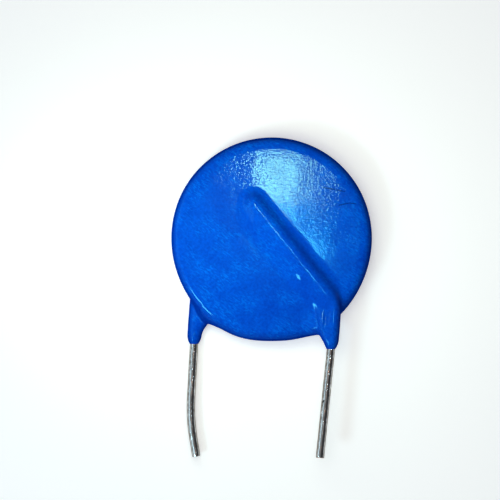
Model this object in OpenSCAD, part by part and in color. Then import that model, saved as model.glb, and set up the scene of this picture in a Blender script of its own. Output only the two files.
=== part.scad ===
// Metal oxide varistor: a zinc oxide disc with a silver electrode and a wire lead on
// each face, dipped in one epoxy coat that runs down both wires as two short legs.
// It lies on its back: +Z out of its front face, +Y from the wire ends to the disc.
// The origin is below the middle of its length, on the surface that it lies on.

/* [Ceramic disc] */
// Diameter of the zinc oxide disc
ceramic_d = 32; // [28:0.5:34]
// Thickness of the zinc oxide disc
ceramic_t = 2.2; // [1.6:0.1:3]

/* [Electrodes] */
// Width of the bare ceramic ring round each silver electrode
bare_ring = 1; // [0.5:0.1:2.5]
// Thickness of the fired silver
electrode_t = 0.05; // [0.03:0.01:0.1]

/* [Solder] */
// Thickness of the solder film between a wire and its electrode
solder_film = 0.06; // [0.04:0.01:0.12]
// Half the width of the solder where it wets the electrode
solder_half_w = 1.8; // [1.4:0.1:2.4]
// Thickness of the solder at its outer edge
solder_edge_t = 0.12; // [0.08:0.01:0.2]
// Length of the wire that lies in the solder
solder_len = 16; // [8:0.5:19]

/* [Wires] */
// Diameter of the tinned copper wire
wire_d = 1.6; // [1.2:0.05:1.8]
// Distance between the two wires where they leave the coat
lead_pitch = 25.4; // [24:0.1:26.4]
// Depth below the disc's centre at which that distance is taken
pitch_drop = 21; // [20:0.5:22]
// Place of the middle line between the wires, from the disc's centre
pair_x = -1.8; // [-2.5:0.1:0]
// Slope of the stretch that crosses the disc, below the horizontal
slant = 51.2; // [49:0.2:54]
// Height of a wire's inner end above the disc's centre
inner_end_y = 6.5; // [4:0.1:8]
// Distance by which a wire's inner end passes the middle line between the wires
inner_end_past = 1.5; // [0.5:0.1:3]
// Radius of the bend from the slanted stretch into the leg
leg_bend_r = 4; // [2.5:0.1:5]
// Depth below the disc's centre at which both wires are cut
wire_end_drop = 40.7; // [38:0.1:60]

/* [Front wire tail] */
// Lean of the front wire inside its leg, towards the middle line
front_leg_lean = 4.7; // [2:0.1:5]
// Depth at which the front wire bends on leaving the coat
front_bend_drop = 21; // [20.8:0.1:24]
// Radius of that bend
front_bend_r = 20; // [5:1:40]
// Lean of the front wire's straight tail, towards the middle line
front_tail_lean = 5.8; // [5.2:0.1:8]

/* [Rear wire tail] */
// Lean of the rear wire inside its leg, towards the middle line
rear_leg_lean = -3.1; // [-4:0.1:-1]
// Depth at which the rear wire starts its long bend
rear_bend_drop = 29.5; // [24:0.5:31]
// Radius of that bend
rear_bend_r = 38; // [20:1:45]
// Lean of the rear wire's straight tip, towards the middle line
rear_tail_lean = 9.5; // [4:0.5:10]

/* [Epoxy coat] */
// Thickness of the coat over the middle of each ceramic face
face_cover = 1.05; // [0.8:0.05:1.4]
// Fall of the coat's face from its middle to the ceramic's edge
face_crown = 0.15; // [0:0.05:0.3]
// Thickness of the coat round the ceramic's edge
rim_cover = 2.6; // [2:0.1:3.2]
// Extra depth of coat that ran down to the lower edge before it set
sag = 1; // [0:0.05:1.2]
// Angle to each side of straight down at which half of that depth is left
sag_half_angle = 46; // [40:1:50]
// Angle over which it fades there
sag_fade = 12; // [6:0.5:14]
// Height by which the lower edge stays up midway between the legs
belly_lift = 0.35; // [0:0.05:0.5]
// Angle to each side of straight down over which it stays up
belly_lift_angle = 14; // [10:1:18]
// Thickness of the coat over a wire's inner end, from where it grows towards the leg
ridge_cover = 0.25; // [0.2:0.05:0.5]
// Thickness of the coat round a wire in its leg
leg_cover = 0.55; // [0.5:0.05:0.8]
// Width over which the coat flows from a ridge into the face above it
ridge_blend = 2; // [1:0.1:2.6]
// The same width below the ridge, where the wet coat gathered in an apron
apron_blend = 4.2; // [2:0.1:4.5]
// Distance below the ridge's middle line at which the apron has its full width
apron_reach = 4.8; // [3:0.1:8]
// Width over which the coat flows from a leg into the rim
leg_blend = 0.9; // [0.4:0.1:1.4]
// The same width on the side between the legs, where the wet coat webbed
web_blend = 2.6; // [0.9:0.1:3]
// Depth below the disc's centre at which the front leg ends
front_leg_drop = 20.6; // [19.6:0.1:20.8]
// Depth below the disc's centre at which the rear leg ends
rear_leg_drop = 19.8; // [19.4:0.1:20.8]
// Length over which a leg's end rounds down to the wire
leg_taper = 1.9; // [1.4:0.1:2.2]

/* [Hidden] */

// Places of the stack, measured from the middle of the ceramic
ceramic_r = ceramic_d / 2;
wire_r = wire_d / 2;
electrode_z = ceramic_t / 2 + electrode_t;
wire_z = electrode_z + solder_film + wire_r;
face_z = ceramic_t / 2 + face_cover;
coat_r = ceramic_r + rim_cover;
ridge_r = wire_r + ridge_cover;
leg_r = wire_r + leg_cover;

// Place of the disc's centre over the surface and along the part
rest_z = wire_z + leg_r;
rest_y = (wire_end_drop - coat_r) / 2;

// Distance inside the ceramic's edge at which the flow beside a ridge starts to change into
// the flow beside a leg
RIM_LEAD = 1;

// Power of the rim's round: above 1 the coat stays flat for longer and then turns down
RIM_FULLNESS = 1.9;

// Spacing of the grid that the coat's skin is drawn over: across the disc and round the legs
DISC_STEP = 0.85;
LEG_STEP = 0.5;

// Distance from a leg's middle over which its finer spacing holds
LEG_ZONE = 2.2;

// Levels of the grid from the middle into a ridge, and the height over the wire at which the
// top one cuts the ridge, as a share of its radius, so that no level runs along a crest
LEVELS = 5;
LEVEL_SHARE = 0.8;
level_step = (wire_z + LEVEL_SHARE * ridge_r) / LEVELS;

// Steps by which a point of the skin is drawn to the coat's true surface, and the
// distance over which the slope there is taken
SKIN_PASSES = 2;
SLOPE_SPAN = 0.001;

// A wire is described as the front one is seen; the rear one is the same wire turned
// half way round the middle line between the two
FRONT = 1;
REAR = -1;

function leg_lean(side) = side == FRONT ? front_leg_lean : rear_leg_lean;
function tail_lean(side) = side == FRONT ? front_tail_lean : rear_tail_lean;
function tail_bend_r(side) = side == FRONT ? front_bend_r : rear_bend_r;
function tail_bend_drop(side) = side == FRONT ? front_bend_drop : rear_bend_drop;
function leg_drop(side) = side == FRONT ? front_leg_drop : rear_leg_drop;

function heading(angle) = [cos(angle), sin(angle)];
function right_of(angle) = [sin(angle), -cos(angle)];
function crossed(a, b) = a.x * b.y - a.y * b.x;
function mix(a, b, share) = a + (b - a) * share;
function clamp(value, low, high) = min(high, max(low, value));

// Headings of a wire's three straight stretches
function leg_heading(side) = -90 - leg_lean(side);
function tail_heading(side) = -90 - tail_lean(side);

// Points of a wire's middle line, from its inner end to its cut end
inner_end = [pair_x - inner_end_past, inner_end_y];
exit_point = [pair_x + lead_pitch / 2, -pitch_drop];

function corner(side) =
    let (up = -heading(leg_heading(side)),
         rise = crossed(inner_end - exit_point, heading(-slant)) / crossed(up, heading(-slant)))
    exit_point + up * rise;

function leg_turn(side) = -slant - leg_heading(side);
function tail_turn(side) = leg_heading(side) - tail_heading(side);
function bend_in(side) = corner(side) - heading(-slant) * leg_bend_r * tan(leg_turn(side) / 2);
function bend_out(side) =
    corner(side) + heading(leg_heading(side)) * leg_bend_r * tan(leg_turn(side) / 2);
function leg_bend_middle(side) = bend_in(side) + right_of(-slant) * leg_bend_r;

// Point of the leg's straight stretch at a depth below the disc's centre
function leg_point(side, drop) =
    let (down = heading(leg_heading(side)))
    exit_point + down * (drop - pitch_drop) / -down.y;

function tail_bend_middle(side) =
    leg_point(side, tail_bend_drop(side)) + right_of(leg_heading(side)) * tail_bend_r(side);
function tail_start(side) =
    tail_bend_middle(side) - right_of(tail_heading(side)) * tail_bend_r(side);
function tail_end(side) =
    let (down = heading(tail_heading(side)), start = tail_start(side))
    start + down * (wire_end_drop + start.y) / -down.y;

// The middle line inside the coat as straight pieces, for measuring distances to it
BEND_STEPS = 4;
function route(side) = [
    inner_end,
    for (step = [0:BEND_STEPS])
        leg_bend_middle(side)
            - right_of(mix(-slant, leg_heading(side), step / BEND_STEPS)) * leg_bend_r,
    leg_point(side, leg_drop(side) + leg_taper)
];
ROUTES = [route(FRONT), route(REAR)];

// Turns a point from the wire's own view to its place, and back
function turned(side, p) = side == FRONT ? p : [2 * pair_x - p.x, p.y, -p.z];

// Distance in plan from a point to one straight piece
function piece_distance(p, a, b) =
    let (along = b - a, share = clamp((p - a) * along / (along * along), 0, 1))
    norm(p - a - along * share);

// Radius of the coat round a wire at a depth below the disc's centre: a ridge thickens
// towards its leg, and the leg ends in a dome that is down to the wire at the leg's depth
function tube_r(side, drop) =
    let (run = clamp((drop + inner_end_y) / (ceramic_r + inner_end_y), 0, 1),
         grown = mix(ridge_r, leg_r, run * run),
         dome_length = leg_taper / sqrt(1 - pow(wire_r / leg_r, 2)),
         share = clamp((drop - leg_drop(side) + leg_taper) / dome_length, 0, 1))
    grown * sqrt(1 - share * share);

// Gaps from a point to each form of the coat: below zero inside it
function tube_gap(side, p) =
    let (q = turned(side, p), points = ROUTES[side == FRONT ? 0 : 1], flat = [q.x, q.y],
         aside = min([for (k = [1:len(points) - 1]) piece_distance(flat, points[k - 1], points[k])]))
    norm([aside, q.z - wire_z]) - tube_r(side, -q.y);

// The lower edge bulges where the wet coat ran down, most of all beside the wires
function from_below(angle) = abs(angle + 90 - 360 * round((angle + 90) / 360));
function sagged(angle) =
    sag / (1 + exp((from_below(angle) - sag_half_angle) / sag_fade))
        - belly_lift * exp(-pow(from_below(angle) / belly_lift_angle, 2));

function disc_gap(p) =
    let (r = norm([p.x, p.y]),
         half_t = face_z - face_crown * min(1, pow(r / ceramic_r, 2)),
         level = p.z / half_t,
         bulge = sagged(atan2(p.y, p.x)) * (1 - min(1, level * level)),
         rim_share = max(0, r - bulge - ceramic_r) / rim_cover)
    (norm([pow(rim_share, RIM_FULLNESS), level]) - 1) * half_t;

// Width over which the coat flows from the disc into one wire's ridge and leg
function flow_width(side, p) =
    let (q = turned(side, p),
         ridge_y = inner_end_y - max(0, q.x - inner_end.x) * tan(slant),
         apron_share = clamp((ridge_y - q.y) / apron_reach, 0, 1),
         web_share = clamp((lead_pitch / 2 - abs(q.x - pair_x)) / wire_d, 0, 1),
         edge_share = clamp((norm([p.x, p.y]) - ceramic_r + RIM_LEAD) / rim_cover, 0, 1))
    mix(mix(ridge_blend, apron_blend, apron_share), mix(leg_blend, web_blend, web_share),
        edge_share);

function flowed(a, b, width) =
    min(a, b) - pow(max(width - abs(a - b), 0), 2) / (4 * width);

function coat_gap(p) =
    let (with_front = flowed(disc_gap(p), tube_gap(FRONT, p), flow_width(FRONT, p)))
    flowed(with_front, tube_gap(REAR, p), flow_width(REAR, p));

// Draws a point to the skin along the slope of the gap
function on_skin(p, passes) =
    passes == 0 ? p
    : let (gap = coat_gap(p),
           slope = [for (axis = AXES) (coat_gap(p + axis * SLOPE_SPAN) - gap) / SLOPE_SPAN])
      on_skin(p - slope * gap / (slope * slope), passes - 1);

// Steps along the three axes, the corners of one cell and its edges as pairs of corners
AXES = [[1, 0, 0], [0, 1, 0], [0, 0, 1]];
CORNERS = [for (x = [0, 1], y = [0, 1], z = [0, 1]) [x, y, z]];
EDGES = [for (corner = CORNERS, axis = AXES) if (corner * axis == 0) [corner, corner + axis]];

// Places of the grid's lines, from two steps before the low limit to past the high one
function lines(low, high, step_at) =
    [for (at = low - 2 * step_at(low); at < high + step_at(high); at = at + step_at(at)) at];

// The coat's outer skin as a net: one point in each cell of a grid that the skin passes
// through, and one four-sided mesh round each grid edge that it cuts
module coat_skin() {
    step_x = function(x) abs(abs(x - pair_x) - lead_pitch / 2) < LEG_ZONE ? LEG_STEP : DISC_STEP;
    step_y = function(y) y < -ceramic_r ? LEG_STEP : DISC_STEP;
    step_z = function(z) level_step;
    reach = coat_r + sag;
    grid = [
        lines(-reach, reach, step_x),
        lines(-max(reach, front_leg_drop, rear_leg_drop), reach, step_y),
        lines(-(LEVELS + 1) * level_step, rest_z, step_z)
    ];
    counts = [for (places = grid) len(places)];

    gaps = [for (x = grid.x) [for (y = grid.y) [for (z = grid.z) coat_gap([x, y, z])]]];
    gap_at = function(corner) gaps[corner.x][corner.y][corner.z];
    place_of = function(corner) [grid.x[corner.x], grid.y[corner.y], grid.z[corner.z]];
    cut_between = function(a, b) (gap_at(a) < 0) != (gap_at(b) < 0);

    cells = [for (x = [0:counts.x - 2], y = [0:counts.y - 2], z = [0:counts.z - 2]) [x, y, z]];
    cell_number = function(cell) (cell.x * (counts.y - 1) + cell.y) * (counts.z - 1) + cell.z;
    crossings = function(cell) [for (edge = EDGES)
        let (a = cell + edge[0], b = cell + edge[1])
        if (cut_between(a, b))
            mix(place_of(a), place_of(b), gap_at(a) / (gap_at(a) - gap_at(b)))];
    average = function(places) [for (place = places) 1] * places / len(places);

    // Each cell's point, where it has one, and the number of points before each cell
    cell_crossings = [for (cell = cells) crossings(cell)];
    points = [for (places = cell_crossings) if (len(places) > 0)
        on_skin(average(places), SKIN_PASSES)];
    point_numbers = [for (n = 0, before = 0; n < len(cells);
        before = before + (len(cell_crossings[n]) > 0 ? 1 : 0), n = n + 1) before];
    point_in = function(cell) point_numbers[cell_number(cell)];

    // The mesh round one grid edge, split along its shorter diagonal
    split = function(a, b, c, d)
        norm(points[a] - points[c]) < norm(points[b] - points[d])
        ? [[a, b, c], [a, c, d]] : [[b, c, d], [b, d, a]];
    faces = [for (x = [1:counts.x - 2], y = [1:counts.y - 2], z = [1:counts.z - 2], k = [0:2])
        let (low = [x, y, z], aside = AXES[(k + 1) % 3], away = AXES[(k + 2) % 3])
        if (cut_between(low, low + AXES[k]))
            let (round = [low - aside - away, low - aside, low, low - away],
                 turn = gap_at(low) < 0 ? 1 : 3)
            each split(point_in(round[0]), point_in(round[turn]), point_in(round[2]),
                point_in(round[4 - turn]))];
    polyhedron(points = points, faces = faces, convexity = 6);
}

module rest() {
    translate([0, rest_y, rest_z]) children();
}

module turned_over() {
    translate([2 * pair_x, 0, 0]) rotate([0, 180, 0]) children();
}

// A wire swells a little where it is bent, and its straight stretches run into the bend
BEND_SWELL = 0.003;
BEND_OVERLAP = 0.03;

// One straight stretch of wire along +X, with what follows at its end
module stretch(length) {
    translate([-BEND_OVERLAP, 0, 0])
        rotate([0, 90, 0]) cylinder(h = length + 2 * BEND_OVERLAP, r = wire_r, $fn = 48);
    translate([length, 0, 0]) children();
}

// One bend of wire to the right, with what follows at its end
module bend(middle_r, turn) {
    translate([0, -middle_r, 0]) {
        rotate_extrude(angle = -turn, start = 90, $fn = 120)
            translate([middle_r, 0]) circle(r = wire_r + BEND_SWELL, $fn = 48);
        rotate([0, 0, -turn]) translate([0, middle_r, 0]) children();
    }
}

// Puts a form at a wire's inner end, with +X along the wire's slanted stretch
module at_inner_end(height) {
    translate([inner_end.x, inner_end.y, height]) rotate([0, 0, -slant]) children();
}

module wire(side) {
    at_inner_end(wire_z)
        stretch(norm(bend_in(side) - inner_end))
            bend(leg_bend_r, leg_turn(side))
                stretch(norm(leg_point(side, tail_bend_drop(side)) - bend_out(side)))
                    bend(tail_bend_r(side), tail_turn(side))
                        stretch(norm(tail_end(side) - tail_start(side)));
}

// Length by which a cutting form passes what it cuts
CUT_PAST = 1;

// Solder up to the wire's middle height, with hollow flanks and round ends
module solder_body() {
    height = wire_z - electrode_z;
    hollow_r = height - solder_edge_t;
    section_start = solder_half_w / 2;

    module round_end() {
        rotate_extrude(angle = 180, $fn = 72)
            difference() {
                square([solder_half_w, height]);
                translate([solder_half_w, height]) circle(r = hollow_r, $fn = 48);
            }
    }

    at_inner_end(electrode_z) {
        difference() {
            translate([section_start, -solder_half_w, 0])
                cube([solder_len, 2 * solder_half_w, height]);
            for (flank = [-1, 1])
                translate([section_start - CUT_PAST, flank * solder_half_w, height])
                    rotate([0, 90, 0])
                        cylinder(h = solder_len + 2 * CUT_PAST, r = hollow_r, $fn = 48);
        }
        translate([section_start, 0, 0]) rotate([0, 0, 90]) round_end();
        translate([section_start + solder_len, 0, 0]) rotate([0, 0, -90]) round_end();
    }
}

module electrode() {
    translate([0, 0, ceramic_t / 2])
        cylinder(h = electrode_t, r = ceramic_r - bare_ring, $fn = 180);
}

module ceramic() {
    translate([0, 0, -ceramic_t / 2]) cylinder(h = ceramic_t, r = ceramic_r, $fn = 180);
}

module solder() {
    difference() {
        solder_body();
        wire(FRONT);
    }
}

module ceramic_disc() {
    color("dimgray") rest() ceramic();
}

module front_electrode() {
    color("gainsboro") rest() electrode();
}

module rear_electrode() {
    color("gainsboro") rest() turned_over() electrode();
}

module front_solder() {
    color("lightslategray") rest() solder();
}

module rear_solder() {
    color("lightslategray") rest() turned_over() solder();
}

module front_lead() {
    color("silver") rest() wire(FRONT);
}

module rear_lead() {
    color("silver") rest() turned_over() wire(REAR);
}

module epoxy_coating() {
    color("royalblue") rest() difference() {
        coat_skin();
        ceramic();
        electrode();
        solder_body();
        wire(FRONT);
        turned_over() {
            electrode();
            solder_body();
            wire(REAR);
        }
    }
}

ceramic_disc();
front_electrode();
rear_electrode();
front_solder();
rear_solder();
front_lead();
rear_lead();
epoxy_coating();
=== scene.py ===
"""Dresses the disc varistor: a dipped blue epoxy coat, tinned wires and a plain pale studio."""
import math

import bpy
import numpy as np
from mathutils import Matrix, Vector


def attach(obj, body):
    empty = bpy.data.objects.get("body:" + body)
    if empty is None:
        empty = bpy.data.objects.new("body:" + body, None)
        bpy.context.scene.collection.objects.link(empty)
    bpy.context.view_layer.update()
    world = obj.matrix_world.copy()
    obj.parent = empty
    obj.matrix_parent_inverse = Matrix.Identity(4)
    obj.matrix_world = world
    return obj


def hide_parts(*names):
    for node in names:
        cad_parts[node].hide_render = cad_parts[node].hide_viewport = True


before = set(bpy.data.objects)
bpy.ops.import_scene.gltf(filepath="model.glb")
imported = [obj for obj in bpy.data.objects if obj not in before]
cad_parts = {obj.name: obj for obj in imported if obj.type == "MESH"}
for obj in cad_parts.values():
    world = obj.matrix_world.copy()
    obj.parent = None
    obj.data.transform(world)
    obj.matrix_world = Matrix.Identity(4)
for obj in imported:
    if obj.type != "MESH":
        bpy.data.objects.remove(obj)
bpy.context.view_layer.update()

MM = 0.001
rng = np.random.default_rng(32)

# Sizes of the part as its solids have them, in mm and degrees
CERAMIC_R = 16.0
CERAMIC_T = 2.2
ELECTRODE_T = 0.05
SOLDER_FILM = 0.06

WIRE_R = 0.8
LEAD_PITCH = 25.4
PITCH_DROP = 21.0
PAIR_X = -1.8
SLANT = 51.2
INNER_END = np.array([-3.3, 6.5])
LEG_BEND_R = 4.0
WIRE_END_DROP = 40.7

FACE_COVER = 1.05
FACE_CROWN = 0.15
RIM_COVER = 2.6
RIM_LEAD = 1.0
RIM_FULLNESS = 1.9
SAG = 1.0
SAG_HALF_ANGLE = 46.0
SAG_FADE = 12.0
BELLY_LIFT = 0.35
BELLY_LIFT_ANGLE = 14.0
RIDGE_COVER = 0.25
LEG_COVER = 0.55
LEG_TAPER = 1.9
RIDGE_BLEND = 2.0
APRON_BLEND = 4.2
APRON_REACH = 4.8
LEG_BLEND = 0.9

# The webs of coat beside the legs, which are fuller here than in the solids
WEB_BLEND = 3.5
LEG_FLARE = 0.75
FLARE_ABOVE = 2.0
FLARE_BELOW = 1.3

WIRE_Z = CERAMIC_T / 2 + ELECTRODE_T + SOLDER_FILM + WIRE_R
FACE_Z = CERAMIC_T / 2 + FACE_COVER
COAT_R = CERAMIC_R + RIM_COVER
RIDGE_R = WIRE_R + RIDGE_COVER
LEG_R = WIRE_R + LEG_COVER

# Place of the disc's centre over the surface and along the part
DISC_CENTRE = np.array([0.0, (WIRE_END_DROP - COAT_R) / 2, WIRE_Z + LEG_R])

# Steps round the bend into the leg, for the coat and for the wire, and round the tail's bend
COATED_BEND_STEPS = 4
LEG_BEND_STEPS = 16
TAIL_BEND_STEPS = 8


def heading(angle):
    """Unit vector in plan at an angle in degrees."""
    return np.array([math.cos(math.radians(angle)), math.sin(math.radians(angle))])


def right_of(angle):
    """Unit vector to the right of that heading."""
    return np.array([math.sin(math.radians(angle)), -math.cos(math.radians(angle))])


def crossed(a, b):
    """Cross product of two plan vectors."""
    return a[0] * b[1] - a[1] * b[0]


def arc(middle, radius, start, end, steps):
    """Points round an arc that turns right from one heading to another."""
    return [middle - right_of(angle) * radius for angle in np.linspace(start, end, steps + 1)]


class Wire:
    """One wire as the front one is seen; side is 1 for the front wire and -1 for the rear one.
    Leans are from straight down, and drops are depths below the disc's centre: of the bend in
    the tail, of the place where the leg leaves the disc, and of the end of the leg's coat."""

    exit_point = np.array([PAIR_X + LEAD_PITCH / 2, -PITCH_DROP])

    def __init__(self, side, leg_lean, tail_lean, bend_r, bend_drop, root_drop, leg_drop):
        self.side = side
        self.root_drop = root_drop
        self.leg_drop = leg_drop
        self.leg_angle = -90 - leg_lean
        self.tail_angle = -90 - tail_lean
        self.bend_r = bend_r
        up = -heading(self.leg_angle)
        rise = crossed(INNER_END - self.exit_point, heading(-SLANT)) / crossed(up, heading(-SLANT))
        corner = self.exit_point + up * rise
        reach = LEG_BEND_R * math.tan(math.radians(-SLANT - self.leg_angle) / 2)
        self.slant_end = corner - heading(-SLANT) * reach
        self.bend_middle = self.leg_point(bend_drop) + right_of(self.leg_angle) * bend_r
        tail_start = self.bend_middle - right_of(self.tail_angle) * bend_r
        down = heading(self.tail_angle)
        self.tip = tail_start + down * (WIRE_END_DROP + tail_start[1]) / -down[1]

    def leg_point(self, drop):
        """Point of the leg's straight stretch at a depth below the disc's centre."""
        down = heading(self.leg_angle)
        return self.exit_point + down * (drop - PITCH_DROP) / -down[1]

    def leg_bend(self, steps):
        """Points round the bend from the slanted stretch into the leg."""
        middle = self.slant_end + right_of(-SLANT) * LEG_BEND_R
        return arc(middle, LEG_BEND_R, -SLANT, self.leg_angle, steps)

    def coated_route(self):
        """The middle line inside the coat as a few points."""
        coat_end = self.leg_point(self.leg_drop + LEG_TAPER)
        return [INNER_END, *self.leg_bend(COATED_BEND_STEPS), coat_end]

    def whole_route(self):
        """The whole middle line, from the inner end to the cut end."""
        tail_bend = arc(self.bend_middle, self.bend_r, self.leg_angle, self.tail_angle,
                        TAIL_BEND_STEPS)
        return [INNER_END, *self.leg_bend(LEG_BEND_STEPS), *tail_bend, self.tip]

    def placed(self, points):
        """Turns points from the wire's own view to the disc's frame, and back."""
        points = np.asarray(points, float)
        if self.side > 0:
            return points
        return points * [-1, 1, -1] + [2 * PAIR_X, 0, 0]


FRONT = Wire(side=1, leg_lean=4.7, tail_lean=5.8, bend_r=20.0, bend_drop=21.0,
             root_drop=17.7, leg_drop=20.6)
REAR = Wire(side=-1, leg_lean=-3.1, tail_lean=9.5, bend_r=38.0, bend_drop=29.5,
            root_drop=15.8, leg_drop=19.8)


def distance_from(route, flat):
    """Distance in plan from each point to a line of points."""
    nearest = np.full(len(flat), np.inf)
    for start, end in zip(route, route[1:]):
        along = end - start
        share = np.clip((flat - start) @ along / (along @ along), 0, 1)
        away = np.linalg.norm(flat - start - share[:, None] * along, axis=1)
        nearest = np.minimum(nearest, away)
    return nearest


def tube_gap(wire, points):
    """Gap to the coat round one wire: below zero inside it."""
    own = wire.placed(points)
    drop = -own[:, 1]
    # The ridge grows into the leg, and the leg rounds off to the bare wire over its taper
    run = np.clip((drop + INNER_END[1]) / (CERAMIC_R + INNER_END[1]), 0, 1)
    grown = RIDGE_R + (LEG_R - RIDGE_R) * run**2
    dome_length = LEG_TAPER / math.sqrt(1 - (WIRE_R / LEG_R) ** 2)
    share = np.clip((drop - wire.leg_drop + LEG_TAPER) / dome_length, 0, 1)
    radius = grown * np.sqrt(1 - share * share)
    # Near its root the leg widens in plan towards the other one
    middle = wire.exit_point[0] + (drop - PITCH_DROP) * math.tan(math.radians(wire.leg_angle + 90))
    past_root = drop - wire.root_drop
    fade = np.exp(-((past_root / np.where(past_root > 0, FLARE_BELOW, FLARE_ABOVE)) ** 2))
    widened = np.where(own[:, 0] < middle, 1 + LEG_FLARE * fade, 1)
    aside = distance_from(wire.coated_route(), own[:, :2]) / widened
    return np.hypot(aside, own[:, 2] - WIRE_Z) - radius


def disc_gap(points):
    """Gap to the coat round the ceramic disc; its lower edge bulges where the wet coat ran."""
    r = np.hypot(points[:, 0], points[:, 1])
    angle = np.degrees(np.arctan2(points[:, 1], points[:, 0]))
    from_below = np.abs((angle + 90 + 180) % 360 - 180)
    sagged = SAG / (1 + np.exp((from_below - SAG_HALF_ANGLE) / SAG_FADE))
    sagged -= BELLY_LIFT * np.exp(-((from_below / BELLY_LIFT_ANGLE) ** 2))
    half_t = FACE_Z - FACE_CROWN * (r / CERAMIC_R) ** 2
    level = points[:, 2] / half_t
    bulge = sagged * (1 - np.minimum(1, level**2))
    past_edge = np.maximum(0, r - bulge - CERAMIC_R) / RIM_COVER
    return (np.hypot(past_edge**RIM_FULLNESS, level) - 1) * half_t


def flowed(a, b, width):
    """Two forms as wet coat joins them, with a fillet."""
    return np.minimum(a, b) - np.maximum(width - np.abs(a - b), 0) ** 2 / (4 * width)


def flow_width(wire, points):
    """Width over which the coat flows into a ridge or leg: wide below the ridge, where the
    wet coat gathered, and on the side between the legs, where it webbed."""
    own = wire.placed(points)
    run = np.maximum(0, own[:, 0] - INNER_END[0]) * math.tan(math.radians(SLANT))
    below = np.clip((INNER_END[1] - run - own[:, 1]) / APRON_REACH, 0, 1)
    ridge = RIDGE_BLEND + (APRON_BLEND - RIDGE_BLEND) * below
    web = np.clip((LEAD_PITCH / 2 - np.abs(own[:, 0] - PAIR_X)) / (2 * WIRE_R), 0, 1)
    leg = LEG_BLEND + (WEB_BLEND - LEG_BLEND) * web
    r = np.hypot(points[:, 0], points[:, 1])
    edge = np.clip((r - CERAMIC_R + RIM_LEAD) / RIM_COVER, 0, 1)
    return ridge + (leg - ridge) * edge


def coat_gap(points):
    """Gap to the whole coat's skin."""
    front = flowed(disc_gap(points), tube_gap(FRONT, points), flow_width(FRONT, points))
    return flowed(front, tube_gap(REAR, points), flow_width(REAR, points))


# Steps along the three axes, and the corners of one grid cell
AXES = np.eye(3, dtype=int)
CELL_CORNERS = np.array([[x, y, z] for x in (0, 1) for y in (0, 1) for z in (0, 1)])

# Length of the step that finds a slope, and times that a point is drawn to the skin
SLOPE_SPAN = 0.001
SKIN_PASSES = 3


def slope_of(gap, points):
    """The gap at each point and its slope there."""
    here = gap(points)
    steps = [gap(points + axis * SLOPE_SPAN) - here for axis in AXES]
    return here, np.stack(steps, axis=1) / SLOPE_SPAN


def skin_cells(inside):
    """The grid cells that the skin passes through, and their numbers laid out on the grid."""
    size = np.array(inside.shape) - 1
    held = sum(inside[tuple(slice(o, o + n) for o, n in zip(corner, size))].astype(int)
               for corner in CELL_CORNERS)
    cells = np.argwhere((held > 0) & (held < len(CELL_CORNERS)))
    numbers = np.full(size, -1)
    numbers[tuple(cells.T)] = np.arange(len(cells))
    return cells, numbers


def cell_points(cells, corners, gaps):
    """One point to a cell: the middle of the places where the skin cuts the cell's edges."""
    total = np.zeros((len(cells), 3))
    count = np.zeros(len(cells))
    for corner in CELL_CORNERS:
        for axis in AXES:
            if corner @ axis:
                continue
            a = tuple((cells + corner).T)
            b = tuple((cells + corner + axis).T)
            cut = (gaps[a] < 0) != (gaps[b] < 0)
            share = np.where(cut, gaps[a] / np.where(cut, gaps[a] - gaps[b], 1), 0)
            place = corners[a] + (corners[b] - corners[a]) * share[:, None]
            total += np.where(cut[:, None], place, 0)
            count += cut
    return total / count[:, None]


def net_faces(inside, numbers):
    """One four-sided face round each grid edge that the skin cuts, turned outwards."""
    faces = []
    for k in range(len(AXES)):
        _, aside, away = np.roll(AXES, -k, axis=0)
        cut = np.argwhere(np.delete(inside, -1, axis=k) != np.delete(inside, 0, axis=k))
        outward = inside[tuple(cut.T)]
        around = [cut - aside - away, cut - away, cut, cut - aside]
        quad = np.stack([numbers[tuple(cell.T)] for cell in around], axis=1)
        faces += [quad[outward], quad[~outward][:, ::-1]]
    return np.concatenate(faces)


def net_over(gap, low, high, step):
    """The skin of a gap as a net between two corners: its points and its faces."""
    lines = [np.arange(a - 2 * step, b + 2 * step, step) for a, b in zip(low, high)]
    corners = np.stack(np.meshgrid(*lines, indexing="ij"), axis=-1)
    gaps = gap(corners.reshape(-1, 3)).reshape(corners.shape[:3])
    cells, numbers = skin_cells(gaps < 0)
    points = cell_points(cells, corners, gaps)
    for _ in range(SKIN_PASSES):
        here, slope = slope_of(gap, points)
        points -= slope * (here / (slope**2).sum(axis=1))[:, None]
    return points, net_faces(gaps < 0, numbers)


# Share by which a wave's rate differs at most from that of its undulation
WAVE_SPREAD = 0.3

# Undulations of the coat and of a wire: height and length in mm, and number of waves
COAT_SWELLS = ((0.006, 9.0, 24), (0.0025, 3.4, 24), (0.001, 1.1, 40))
WIRE_SWELLS = ((0.009, 5.0, 24), (0.006, 1.5, 24))

# Depth in mm by which coat and wires are drawn in, so that their swells keep to the part's size
COAT_INSET = 0.01
WIRE_INSET = 0.006


def waves(points, length, count):
    """Soft random undulation between about -1 and 1, with bumps of about that length in mm."""
    ways = rng.normal(size=(count, 3))
    ways /= np.linalg.norm(ways, axis=1)[:, None]
    rates = 2 * math.pi / length * rng.uniform(1 - WAVE_SPREAD, 1 + WAVE_SPREAD, count)
    phases = rng.uniform(0, 2 * math.pi, count)
    total = np.zeros(len(points))
    for way, rate, phase in zip(ways, rates, phases):
        total += np.cos(points @ way * rate + phase)
    return total / math.sqrt(count)


def swells(points, kinds):
    """Height of several undulations together."""
    return sum(height * waves(points, length, count) for height, length, count in kinds)


def mesh_piece(name, points, faces):
    """A smooth mesh object from points in mm about the disc's centre."""
    mesh = bpy.data.meshes.new(name)
    mesh.from_pydata(((points + DISC_CENTRE) * MM).tolist(), [], faces)
    mesh.polygons.foreach_set("use_smooth", [True] * len(mesh.polygons))
    mesh.update()
    piece = bpy.data.objects.new(name, mesh)
    bpy.context.scene.collection.objects.link(piece)
    return piece


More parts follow.
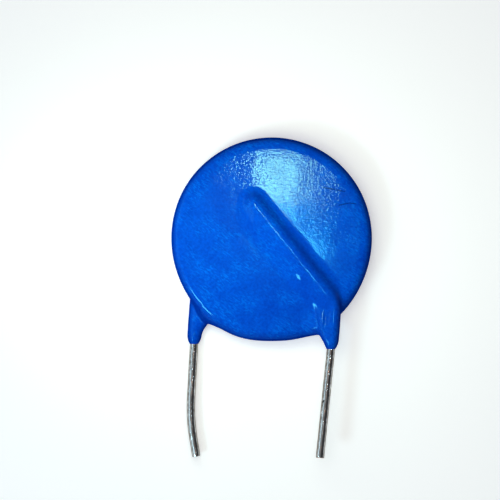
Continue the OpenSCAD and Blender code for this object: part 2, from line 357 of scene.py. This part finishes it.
# Soft lumps and folds of the set coat, beside the front ridge, at the right leg's root and on
# the left leg: place in plan from the disc's centre, heading, half length, half width and height
LUMPS = (
    ((5.25, -7.0), -SLANT, 0.9, 0.6, 0.135),
    ((4.2, -5.4), -SLANT, 1.0, 0.5, 0.03),
    ((8.95, -14.6), -80.0, 2.6, 0.6, 0.2),
    ((-13.9, -14.3), -60.0, 0.6, 0.5, 0.16),
    ((-14.7, -18.2), -90.0, 0.35, 0.35, 0.1),
    ((-14.7, -19.0), -90.0, 0.35, 0.35, 0.1),
)

# The lumps have their full height where the skin faces up by more than one part in this many
LUMP_FADE = 4

NET_STEP = 0.24


def lumps(points, normals):
    """Height of the lumps at each point of the coat's upper side."""
    total = np.zeros(len(points))
    for place, angle, half_length, half_width, height in LUMPS:
        away = points[:, :2] - place
        along = away @ heading(angle) / half_length
        aside = away @ right_of(angle) / half_width
        total += height * np.exp(-(along**2) - aside**2)
    return total * np.clip(LUMP_FADE * normals[:, 2], 0, 1)


def make_coat():
    """The dipped coat: its flowed skin with the swells, pebbles and lumps of set epoxy."""
    reach = COAT_R + SAG
    low = (-reach, -max(reach, FRONT.leg_drop + LEG_TAPER), -DISC_CENTRE[2])
    high = (reach, reach, DISC_CENTRE[2])
    points, faces = net_over(coat_gap, low, high, NET_STEP)
    slope = slope_of(coat_gap, points)[1]
    normals = slope / np.linalg.norm(slope, axis=1)[:, None]
    height = swells(points, COAT_SWELLS) + lumps(points, normals) - COAT_INSET
    points += normals * height[:, None]
    # No swell reaches below the surface that the part lies on
    points[:, 2] = np.maximum(points[:, 2], -DISC_CENTRE[2])
    coat = mesh_piece("dipped_coat", points, faces.tolist())
    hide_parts("epoxy_coating")
    return coat


# Sides of a wire, and pitch of its rings
WIRE_SIDES = 48
RING_PITCH = 0.12

# The nick that a tool left on the front wire: its two ends from the disc's centre, its width and
# depth, and half the width of its dark mark
NICK_START = np.array([9.3, -30.5, WIRE_Z + 0.45])
NICK_END = np.array([9.75, -29.9, WIRE_Z + 0.7])
NICK_WIDTH = 0.16
NICK_DEPTH = 0.04
NICK_DARK_WIDTH = 0.2

# Fall of a cut end's edge, and slope of the cut across the wire
CUT_ROUND = 0.05
CUT_ASLANT = 0.12


def resampled(route, pitch):
    """Points at an even pitch along a line of points."""
    route = np.asarray(route)
    lengths = np.linalg.norm(np.diff(route, axis=0), axis=1)
    along = np.concatenate([[0], np.cumsum(lengths)])
    places = np.linspace(0, along[-1], int(round(along[-1] / pitch)) + 1)
    return np.stack([np.interp(places, along, route[:, k]) for k in range(2)], axis=1)


def nicked(points):
    """Depth of the nick at each point of the front wire's skin."""
    along = NICK_END - NICK_START
    share = np.clip((points - NICK_START) @ along / (along @ along), 0, 1)
    aside = np.linalg.norm(points - NICK_START - share[:, None] * along, axis=1)
    return NICK_DEPTH * np.exp(-((aside / NICK_WIDTH) ** 2))


def rings_round(line):
    """Points on a wire's skin, ring after ring along its middle line, and their ways out."""
    ways = np.gradient(line, axis=0)
    ways /= np.linalg.norm(ways, axis=1)[:, None]
    turns = np.linspace(0, 2 * math.pi, WIRE_SIDES, endpoint=False)
    out = np.stack([
        -ways[:, 1, None] * np.cos(turns),
        ways[:, 0, None] * np.cos(turns),
        np.broadcast_to(np.sin(turns), (len(line), WIRE_SIDES)),
    ], axis=-1).reshape(-1, 3)
    middle = np.concatenate([line, np.full((len(line), 1), WIRE_Z)], axis=1)
    return np.repeat(middle, WIRE_SIDES, axis=0) + out * WIRE_R, out


def tube_faces(rings):
    """Faces between neighbouring rings, then one over the inner end and one over the cut end."""
    first = np.arange(rings)[:, None] * WIRE_SIDES
    columns = np.arange(WIRE_SIDES)
    after = (columns + 1) % WIRE_SIDES
    quads = np.stack([first[:-1] + columns, first[:-1] + after, first[1:] + after,
                      first[1:] + columns], axis=-1)
    ends = [columns[::-1].tolist(), (first[-1] + columns).tolist()]
    return quads.reshape(-1, 4).tolist() + ends


def make_wire(wire, name, node):
    """A tinned wire with the small swells and dents of a hand-dipped lead and a sheared end."""
    line = resampled(wire.whole_route(), RING_PITCH)
    points, out = rings_round(line)
    swell = swells(points, WIRE_SWELLS) - WIRE_INSET
    if wire is FRONT:
        swell -= nicked(points)
    # The shears leave the cut a little aslant and its edge a little round
    swell[-WIRE_SIDES:] -= CUT_ROUND
    points += out * swell[:, None]
    points[-WIRE_SIDES:, 1] += CUT_ASLANT * out[-WIRE_SIDES:, 2] * WIRE_R
    piece = mesh_piece(name, wire.placed(points), tube_faces(len(line)))
    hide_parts(node)
    return piece


def add_node(tree, kind, inputs=None, **settings):
    """A shader node with its settings, and its inputs set to values or linked to sockets."""
    node = tree.nodes.new(kind)
    for key, value in settings.items():
        setattr(node, key, value)
    for key, value in (inputs or {}).items():
        socket = node.inputs[key]
        if isinstance(value, bpy.types.NodeSocket):
            tree.links.new(value, socket)
        else:
            socket.default_value = value
    return node


def maths(tree, operation, *values):
    """The result of one operation on values or sockets."""
    return add_node(tree, "ShaderNodeMath", dict(enumerate(values)), operation=operation).outputs[0]


def remapped(tree, value, start, end, low=0.0, high=1.0, smooth=False):
    """A value from start to end as one from low to high, and no further."""
    node = add_node(tree, "ShaderNodeMapRange", {
        "Value": value, "From Min": start, "From Max": end, "To Min": low, "To Max": high},
        interpolation_type="SMOOTHSTEP" if smooth else "LINEAR")
    return node.outputs["Result"]


def blended(tree, share, first, second):
    """A colour between two, which are sockets or amounts of red, green and blue."""
    first, second = (colour if isinstance(colour, bpy.types.NodeSocket) else (*colour, 1.0)
                     for colour in (first, second))
    node = add_node(tree, "ShaderNodeMix", {"Factor": share, "A": first, "B": second},
                    data_type="RGBA")
    return node.outputs["Result"]


def bumped(tree, height, depth, strength=1.0):
    """The normal of a skin whose height of 0 to 1 stands for a depth in mm."""
    node = add_node(tree, "ShaderNodeBump", {
        "Strength": strength, "Distance": depth * MM, "Height": height})
    return node.outputs["Normal"]


def place_on(tree):
    """The place on a piece, in metres from the part's origin."""
    return add_node(tree, "ShaderNodeTexCoord").outputs["Object"]


def split(tree, vector):
    """The three parts of a vector by their names, X, Y and Z."""
    return add_node(tree, "ShaderNodeSeparateXYZ", {"Vector": vector}).outputs


def upward(tree):
    """How far a skin faces up: 1 on top, 0 on an upright side and -1 below."""
    return split(tree, add_node(tree, "ShaderNodeNewGeometry").outputs["Normal"])["Z"]


def new_group(name, inputs, outputs):
    """An empty shader node group with named inputs and outputs."""
    group = bpy.data.node_groups.new(name, "ShaderNodeTree")
    for title, kind in inputs:
        group.interface.new_socket(title, in_out="INPUT", socket_type=kind)
    for title, kind in outputs:
        group.interface.new_socket(title, in_out="OUTPUT", socket_type=kind)
    source = group.nodes.new("NodeGroupInput")
    result = group.nodes.new("NodeGroupOutput")
    return group, source.outputs, result.inputs


# Middle of the values that noise gives
NOISE_MIDDLE = 0.5


def make_grain_group():
    """Soft speckle of a chosen size in mm, spread between a low and a high value."""
    group, given, result = new_group(
        "Grain",
        [("Size", "NodeSocketFloat"), ("Low", "NodeSocketFloat"), ("High", "NodeSocketFloat"),
         ("Contrast", "NodeSocketFloat")],
        [("Value", "NodeSocketFloat")])
    noise = add_node(group, "ShaderNodeTexNoise", {
        "Vector": place_on(group), "Scale": maths(group, "DIVIDE", 1 / MM, given["Size"]),
        "Detail": 2.0, "Roughness": 0.55})
    least = maths(group, "SUBTRACT", NOISE_MIDDLE, given["Contrast"])
    most = maths(group, "ADD", NOISE_MIDDLE, given["Contrast"])
    spread = remapped(group, noise.outputs["Fac"], least, most, given["Low"], given["High"])
    group.links.new(spread, result["Value"])
    return group


GRAIN = make_grain_group()


def grain(tree, size, low=0.0, high=1.0, contrast=0.3):
    """Places the speckle group and gives its value."""
    node = add_node(tree, "ShaderNodeGroup", node_tree=GRAIN)
    for key, value in (("Size", size), ("Low", low), ("High", high), ("Contrast", contrast)):
        node.inputs[key].default_value = value
    return node.outputs["Value"]


# Depth in mm through which a streak marks its piece, its half length as a share of the way
# between its ends, and the part of its fade at which it is whole
STREAK_DEPTH = 1.5
STREAK_REACH = 0.6
STREAK_WHOLE = 0.3


def make_streak_group():
    """A thin straight mark of a chosen place, turn and size: 1 on it and 0 beside it."""
    group, given, result = new_group(
        "Streak",
        [("Middle", "NodeSocketVector"), ("Turn", "NodeSocketFloat"),
         ("Half Length", "NodeSocketFloat"), ("Half Width", "NodeSocketFloat")],
        [("Mask", "NodeSocketFloat")])
    moved = add_node(group, "ShaderNodeVectorMath", {0: place_on(group), 1: given["Middle"]},
                     operation="SUBTRACT")
    turned = add_node(group, "ShaderNodeVectorRotate",
                      {"Vector": moved.outputs["Vector"], "Angle": given["Turn"]},
                      rotation_type="Z_AXIS")
    parts = split(group, turned.outputs["Vector"])
    within = [
        remapped(group, maths(group, "ABSOLUTE", parts[axis]), 0.0, reach, 1.0, 0.0, smooth=True)
        for axis, reach in (
            ("X", given["Half Length"]), ("Y", given["Half Width"]), ("Z", STREAK_DEPTH * MM))]
    fade = maths(group, "MULTIPLY", maths(group, "MULTIPLY", within[0], within[1]), within[2])
    group.links.new(remapped(group, fade, 0.0, STREAK_WHOLE), result["Mask"])
    return group


STREAK = make_streak_group()


def streaks(tree, marks, level):
    """The mask of all the marks: each has two ends in plan from the disc's centre and a half
    width, all at one level."""
    mask = 0.0
    for start, end, half_width in marks:
        middle = (np.add(start, end) / 2 + DISC_CENTRE[:2]) * MM
        along = np.subtract(end, start)
        node = add_node(tree, "ShaderNodeGroup", node_tree=STREAK)
        node.inputs["Middle"].default_value = (*middle, (DISC_CENTRE[2] + level) * MM)
        node.inputs["Turn"].default_value = -math.atan2(along[1], along[0])
        node.inputs["Half Length"].default_value = np.linalg.norm(along) * STREAK_REACH * MM
        node.inputs["Half Width"].default_value = half_width * MM
        mask = maths(tree, "MAXIMUM", mask, node.outputs["Mask"])
    return mask


def new_material(name, metallic=0.0):
    """A material with its tree and its Principled shader."""
    material = bpy.data.materials.new(name)
    material.use_nodes = True
    shader = material.node_tree.nodes["Principled BSDF"]
    shader.inputs["Metallic"].default_value = metallic
    return material, material.node_tree, shader


def feed(tree, shader, **links):
    """Links sockets to a shader's inputs; an underscore in a name stands for a space."""
    for key, socket in links.items():
        tree.links.new(socket, shader.inputs[key.replace("_", " ")])


# Blues of the coat: its two main tones, the painted highlights of its wrinkles, its scratches, the
# painted shade of its edge, and its gloss
DEEP_BLUE = (0.0, 0.054, 0.57)
CLEAR_BLUE = (0.0, 0.096, 0.76)
GLINT_BLUE = (0.0, 0.22, 1.0)
SCRATCH_BLUE = (0.0, 0.035, 0.3)
EDGE_SHADE_BLUE = (0.0, 0.02, 0.28)
GLOSS_BLUE = (0.1, 0.62, 0.8, 1.0)

# Sizes in mm of the coat's coarse and fine tones, of the painted highlights of its wrinkles and
# their patches, of its pebbles and of the patches in its gloss, with the highlights' slant in
# degrees
COARSE_TONE = 4.0
FINE_TONE = 0.5
GLINT_SLANT = -35.0
GLINT_LENGTH = 0.8
GLINT_WIDTH = 0.3
GLINT_PATCH = 4.5
PEBBLE_SIZE = 0.33
PEBBLE_DEPTH = 0.0088
GLOSS_PATCH = 2.5

# Sum of the two speckles where the blue is deepest and clearest, and values of the noise where a
# painted wrinkle highlight starts and is full, with the share of highlight blue in it there
TONES_DEEP = 0.3
TONES_CLEAR = 1.7
GLINT_START = 0.46
GLINT_FULL = 0.75
GLINT_SHARE = 0.55

# The pebbles grow stronger from one place along the part to another, in mm, with a share of the
# way to the right added; below the first they have their least strength
PEBBLES_START = 12.0
PEBBLES_FULL = 22.0
PEBBLES_LEAN = 0.5
PEBBLES_LEAST = 0.25

# How far the skin has turned where the painted shade round its edge starts and is darkest, and
# how much shade blue is in it there: 0 lies flat and 1 stands upright
EDGE_SHADE_START = 0.02
EDGE_SHADE_FULL = 0.4
EDGE_SHADE_SHARE = 0.7

# Likewise where its gloss starts to fade and is gone, with its full level
GLOSS_START = 0.12
GLOSS_END = 0.34
GLOSS_LEVEL = 0.5
EPOXY_IOR = 1.5

# Two fine scratches in the coat's face: ends in plan from the disc's centre and half width
SCRATCHES = (
    ((9.35, 9.3), (12.1, 8.8), 0.16),
    ((11.9, 8.85), (13.6, 8.45), 0.14),
    ((12.2, 5.9), (14.4, 6.4), 0.13),
    ((14.2, 6.4), (15.7, 6.2), 0.13),
)


def blue_with_painted_glints(tree):
    """Mottled blue with patches of painted highlights shaped as fine slanting wrinkles."""
    tones = maths(tree, "ADD", grain(tree, FINE_TONE, contrast=0.2), grain(tree, COARSE_TONE))
    mottle = remapped(tree, tones, TONES_DEEP, TONES_CLEAR)
    blue = blended(tree, mottle, DEEP_BLUE, CLEAR_BLUE)
    slanted = add_node(tree, "ShaderNodeMapping", {
        "Vector": place_on(tree), "Rotation": (0.0, 0.0, math.radians(GLINT_SLANT)),
        "Scale": (GLINT_LENGTH * MM, GLINT_WIDTH * MM, GLINT_WIDTH * MM)},
        vector_type="TEXTURE")
    noise = add_node(tree, "ShaderNodeTexNoise", {
        "Vector": slanted.outputs["Vector"], "Scale": 1.0, "Detail": 1.0, "Distortion": 0.6})
    # Painted highlight: lighter blue streaks where the slanted noise forms wrinkles
    glint = remapped(tree, noise.outputs["Fac"], GLINT_START, GLINT_FULL, high=GLINT_SHARE)
    patch = grain(tree, GLINT_PATCH, contrast=0.1)
    return blended(tree, maths(tree, "MULTIPLY", glint, patch), blue, GLINT_BLUE)


def pebbles(tree):
    """Height of the coat's pebbles, which are strongest at the upper right of its face."""
    place = place_on(tree)
    parts = split(tree, place)
    climb = maths(tree, "MULTIPLY_ADD", parts["X"], PEBBLES_LEAN, parts["Y"])
    strength = remapped(tree, climb, PEBBLES_START * MM, PEBBLES_FULL * MM, low=PEBBLES_LEAST)
    noise = add_node(tree, "ShaderNodeTexNoise", {
        "Vector": place, "Scale": 1 / (PEBBLE_SIZE * MM), "Detail": 0.0, "Distortion": 0.4})
    return maths(tree, "MULTIPLY", noise.outputs["Fac"], strength)


def blue_epoxy():
    """Glossy blue epoxy with the pebbled skin of a dipped and baked coat, painted highlights in its
    wrinkles and painted shade round its edge.
    """
    material, tree, shader = new_material("blue_epoxy")
    shader.inputs["IOR"].default_value = EPOXY_IOR
    shader.inputs["Specular Tint"].default_value = GLOSS_BLUE
    scratches = streaks(tree, SCRATCHES, FACE_Z)
    face = blended(tree, scratches, blue_with_painted_glints(tree), SCRATCH_BLUE)
    # Painted shade: darker blue where the skin turns from flat towards upright, as round its edge
    # and on the ridges' flanks
    turned = maths(tree, "SUBTRACT", 1.0, maths(tree, "ABSOLUTE", upward(tree)))
    painted_edge_shade = remapped(tree, turned, EDGE_SHADE_START, EDGE_SHADE_FULL, high=EDGE_SHADE_SHARE)
    coat = blended(tree, painted_edge_shade, face, EDGE_SHADE_BLUE)
    # The gloss is weakest where the skin turns away from above and is seen aslant as well
    facing = add_node(tree, "ShaderNodeLayerWeight", {"Blend": 0.5}).outputs["Facing"]
    aslant = maths(tree, "MINIMUM", facing, turned)
    shine = remapped(tree, aslant, GLOSS_START, GLOSS_END, GLOSS_LEVEL, 0.0, smooth=True)
    feed(tree, shader, Base_Color=coat, Roughness=grain(tree, GLOSS_PATCH, 0.06, 0.09),
         Specular_IOR_Level=shine, Normal=bumped(tree, pebbles(tree), PEBBLE_DEPTH))
    return material


# Tones of the wires: dull and bright tin, the brown painted shade on its flanks, the nick, and the
# bare cut
DULL_TIN = (0.6, 0.63, 0.66)
BRIGHT_TIN = (0.86, 0.9, 0.93)
FLANK_SHADE_BROWN = (0.17, 0.145, 0.115)
NICK_BROWN = (0.04, 0.035, 0.03)
DARK_COPPER = (0.62, 0.3, 0.17)
BRIGHT_COPPER = (0.9, 0.52, 0.36)

# Sizes in mm of the speckles of tin, of its lumps and of the speckles of the cut
TIN_SPECKLE = 0.9
TIN_LUMP = 1.1
TIN_LUMP_DEPTH = 0.03
TIN_GLOSS_PATCH = 1.2
CUT_SPECKLE = 0.3
CUT_GLOSS_PATCH = 0.2

# How far the wire's skin faces up where the brown painted shade on its flanks is whole and where it
# ends, and how much that line wanders
FLANK_SHADE_WHOLE = 0.5
FLANK_SHADE_END = 0.85
FLANK_SHADE_WANDER = 0.12


def tinned_copper():
    """Bright tin on top with soft lumps, brown painted shade down the wire's flanks and underside,
    and a dark nick.
    """
    material, tree, shader = new_material("tinned_copper", metallic=1.0)
    tin = blended(tree, grain(tree, TIN_SPECKLE, contrast=0.25), DULL_TIN, BRIGHT_TIN)
    # Painted shade: brown where the skin faces less far up, on the flanks and underside
    wander = grain(tree, TIN_SPECKLE, -FLANK_SHADE_WANDER, FLANK_SHADE_WANDER)
    uneven = maths(tree, "ADD", wander, upward(tree))
    flank = remapped(tree, uneven, FLANK_SHADE_WHOLE, FLANK_SHADE_END, 1.0, 0.0, smooth=True)
    flank_shaded = blended(tree, flank, tin, FLANK_SHADE_BROWN)
    nick = streaks(tree, [(NICK_START[:2], NICK_END[:2], NICK_DARK_WIDTH)], WIRE_Z)
    feed(tree, shader, Base_Color=blended(tree, nick, flank_shaded, NICK_BROWN),
         Roughness=grain(tree, TIN_GLOSS_PATCH, 0.12, 0.24),
         Normal=bumped(tree, grain(tree, TIN_LUMP), TIN_LUMP_DEPTH))
    return material


def cut_copper():
    """The bare copper face that the shears left."""
    material, tree, shader = new_material("cut_copper", metallic=1.0)
    copper = blended(tree, grain(tree, CUT_SPECKLE), DARK_COPPER, BRIGHT_COPPER)
    feed(tree, shader, Base_Color=copper, Roughness=grain(tree, CUT_GLOSS_PATCH, 0.25, 0.5))
    return material


# Depth in mm and strength of the fine roughness of the hidden pieces, and how far their
# roughness varies
INNER_DEPTH = 0.02
INNER_STRENGTH = 0.6
INNER_VARIATION = 0.08


def matt_solid(name, dark, light, speckle, rough, metallic=0.0):
    """A plain inner material: two tones in a speckle of one size, and a fine rough skin."""
    material, tree, shader = new_material(name, metallic)
    bumps = grain(tree, speckle / 2)
    feed(tree, shader, Base_Color=blended(tree, grain(tree, speckle), dark, light),
         Roughness=grain(tree, speckle, rough - INNER_VARIATION, rough + INNER_VARIATION),
         Normal=bumped(tree, bumps, INNER_DEPTH, INNER_STRENGTH))
    return material


def dress(piece, *materials):
    """Gives a piece its materials in place of what it has."""
    piece.data.materials.clear()
    for material in materials:
        piece.data.materials.append(material)


def dress_inner_nodes():
    """Materials of the pieces that the coat hides."""
    ceramic = matt_solid("zinc_oxide", dark=(0.035, 0.036, 0.04), light=(0.09, 0.09, 0.085),
                         speckle=0.6, rough=0.7)
    silver = matt_solid("fired_silver", dark=(0.7, 0.69, 0.66), light=(0.88, 0.87, 0.84),
                        speckle=0.4, rough=0.5, metallic=1.0)
    solder = matt_solid("solder", dark=(0.45, 0.46, 0.48), light=(0.68, 0.69, 0.7),
                        speckle=1.5, rough=0.35, metallic=1.0)
    for node, material in (
        ("ceramic_disc", ceramic), ("front_electrode", silver), ("rear_electrode", silver),
        ("front_solder", solder), ("rear_solder", solder),
    ):
        dress(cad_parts[node], material)


# The photograph's frame: pixels to a side, pixels per mm and the disc's centre in it
FRAME_PX = 500
PX_PER_MM = 5.39
DISC_PX = np.array([271.6, 237.6])

# Height of the camera over the disc's centre in mm, and the nearest and furthest it sees in m
CAMERA_HEIGHT = 420.0
SIGHT_START = 0.01
SIGHT_END = 20.0


def add_camera():
    """A camera over the lying part, with the photograph's framing."""
    data = bpy.data.cameras.new("camera")
    camera = bpy.data.objects.new("camera", data)
    bpy.context.scene.collection.objects.link(camera)
    aside = (FRAME_PX / 2 - DISC_PX) / PX_PER_MM * [1, -1]
    centre = DISC_CENTRE[:2] + aside
    camera.location = (centre[0] * MM, centre[1] * MM, (DISC_CENTRE[2] + CAMERA_HEIGHT) * MM)
    data.lens = data.sensor_width * CAMERA_HEIGHT * PX_PER_MM / FRAME_PX
    data.clip_start = SIGHT_START
    data.clip_end = SIGHT_END
    bpy.context.scene.camera = camera


# Colours of the lamps; warm light in the coat's blue gloss gives the pale blue of its highlight
WHITE = (1.0, 1.0, 1.0)
PALE_GREEN = (0.86, 1.0, 0.8)
PALE_BLUE = (0.6, 0.9, 1.0)
CARD_BLUE = (0.72, 0.95, 1.0)
WARM = (1.0, 0.47, 0.25)
CORE_WARM = (1.0, 0.5, 0.29)

# The lamps: name, place from the disc's centre in mm, the place that it faces, turn in degrees,
# width and length in mm, radiance and colour, so that a larger lamp gives more light
FILL_LAMPS = (
    ("top_light", (-20, 10, 220), (0, 0, 0), 0, (160, 160), 1.5, WHITE),
    ("near_panel", (-14, 0, 34), (0, 0, 0), 0, (20, 60), 3.25, PALE_GREEN),
)
PLAIN_LAMPS = (
    ("strip", (-173, -156, 200), (0, 0, 0), 90, (40, 90), 22.0, PALE_BLUE),
)
GLOSS_LAMPS = (
    ("left_card", (-150, -30, 130), (0, -30, 0), 90, (60, 260), 1.0, CARD_BLUE),
    ("window", (10, 36, 400), (10, 36.1, 0), 0, (27, 31), 45.0, WARM),
    ("window_core", (3, 34, 400), (3, 34.1, 0), 0, (16, 27), 40.0, CORE_WARM),
    ("crest_strip", (14, 3, 400), (14, 3.1, 0), 55, (6, 40), 62.0, PALE_BLUE),
)


def add_lamp(name, place, aim, turn, size, strength, colour):
    """A soft panel that the camera doesn't see."""
    data = bpy.data.lights.new(name, "AREA")
    data.shape = "RECTANGLE"
    data.size = size[0] * MM
    data.size_y = size[1] * MM
    data.energy = strength * math.pi * data.size * data.size_y
    data.color = colour
    lamp = bpy.data.objects.new(name, data)
    bpy.context.scene.collection.objects.link(lamp)
    start = Vector((np.array(place) + DISC_CENTRE) * MM)
    target = Vector((np.array(aim) + DISC_CENTRE) * MM)
    facing = (target - start).to_track_quat("-Z", "Y").to_matrix().to_4x4()
    spin = Matrix.Rotation(math.radians(turn), 4, "Z")
    lamp.matrix_world = Matrix.Translation(start) @ facing @ spin
    lamp.visible_camera = False
    return lamp


def add_lamps():
    """Fill light that the gloss doesn't mirror; a strip at the lower left that draws the bright
    lines; and a card on the left, a window and a crest strip that the gloss alone mirrors."""
    for row in FILL_LAMPS:
        add_lamp(*row).visible_glossy = False
    for row in PLAIN_LAMPS:
        add_lamp(*row)
    for row in GLOSS_LAMPS:
        add_lamp(*row).visible_diffuse = False


# Half the floor's side in m, its grey, and its glow near the part and far from it, with the
# distances in m at which the near glow ends and the far one starts
FLOOR_HALF = 4.0
FLOOR_GREY = (0.8, 0.8, 0.8, 1.0)
NEAR_GLOW = 0.5
FAR_GLOW = 0.85
NEAR_GLOW_END = 0.12
FAR_GLOW_START = 0.5


def seen_directly(tree, strength):
    """A strength that only the camera, reflections and clear materials see."""
    path = add_node(tree, "ShaderNodeLightPath").outputs
    straight = maths(tree, "MAXIMUM", path["Is Camera Ray"], path["Is Glossy Ray"])
    seen = maths(tree, "MAXIMUM", straight, path["Is Transmission Ray"])
    return maths(tree, "MULTIPLY", seen, strength)


def make_floor():
    """A pale floor that renders near white and keeps the part's soft shadow."""
    corners = [(x * FLOOR_HALF, y * FLOOR_HALF, 0) for x, y in ((-1, -1), (1, -1), (1, 1), (-1, 1))]
    mesh = bpy.data.meshes.new("studio_floor")
    mesh.from_pydata(corners, [], [(0, 1, 2, 3)])
    floor = bpy.data.objects.new("studio_floor", mesh)
    bpy.context.scene.collection.objects.link(floor)
    material, tree, shader = new_material("pale_floor")
    shader.inputs["Base Color"].default_value = FLOOR_GREY
    shader.inputs["Roughness"].default_value = 0.9
    shader.inputs["Specular IOR Level"].default_value = 0.0
    shader.inputs["Emission Color"].default_value = (*WHITE, 1.0)
    away = add_node(tree, "ShaderNodeVectorMath", {0: place_on(tree)}, operation="LENGTH")
    glow = remapped(tree, away.outputs["Value"], NEAR_GLOW_END, FAR_GLOW_START,
                    NEAR_GLOW, FAR_GLOW, smooth=True)
    feed(tree, shader, Emission_Strength=seen_directly(tree, glow))
    dress(floor, material)


# Strength of the room's left and right halves and of the white band round the horizon
ROOM_LEFT = 0.2
ROOM_RIGHT = 0.04
BAND_WHITE = 1.0

# Parts of a direction of length 1: how far to each side the halves blend, and the heights over
# the horizon between which the band fades out
ROOM_BLEND = 0.1
BAND_WHOLE = 0.06
BAND_GONE = 0.14


def make_world():
    """A room that is pale on the left and dark on the right, with a white band round the
    horizon behind the floor."""
    world = bpy.data.worlds.new("studio_room")
    bpy.context.scene.world = world
    world.use_nodes = True
    tree = world.node_tree
    tree.nodes.clear()
    parts = split(tree, add_node(tree, "ShaderNodeTexCoord").outputs["Generated"])
    room = remapped(tree, parts["X"], -ROOM_BLEND, ROOM_BLEND, ROOM_LEFT, ROOM_RIGHT, smooth=True)
    band = remapped(tree, parts["Z"], BAND_WHOLE, BAND_GONE, 1.0, 0.0, smooth=True)
    strength = add_node(tree, "ShaderNodeMix", {"Factor": band, "A": room, "B": BAND_WHITE})
    backdrop = add_node(tree, "ShaderNodeBackground", {
        "Color": (*WHITE, 1.0), "Strength": strength.outputs["Result"]})
    output = add_node(tree, "ShaderNodeOutputWorld")
    tree.links.new(backdrop.outputs[0], output.inputs["Surface"])


add_camera()
coat = make_coat()
dress(coat, blue_epoxy())
tin = tinned_copper()
copper = cut_copper()
for wire, name, node in ((FRONT, "front_wire", "front_lead"), (REAR, "rear_wire", "rear_lead")):
    piece = make_wire(wire, name, node)
    dress(piece, tin, copper)
    # The cut end is the last face
    piece.data.polygons[-1].material_index = 1
    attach(piece, "root")
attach(coat, "root")
dress_inner_nodes()
add_lamps()
make_world()
make_floor()
bpy.context.scene.view_settings.view_transform = "Standard"
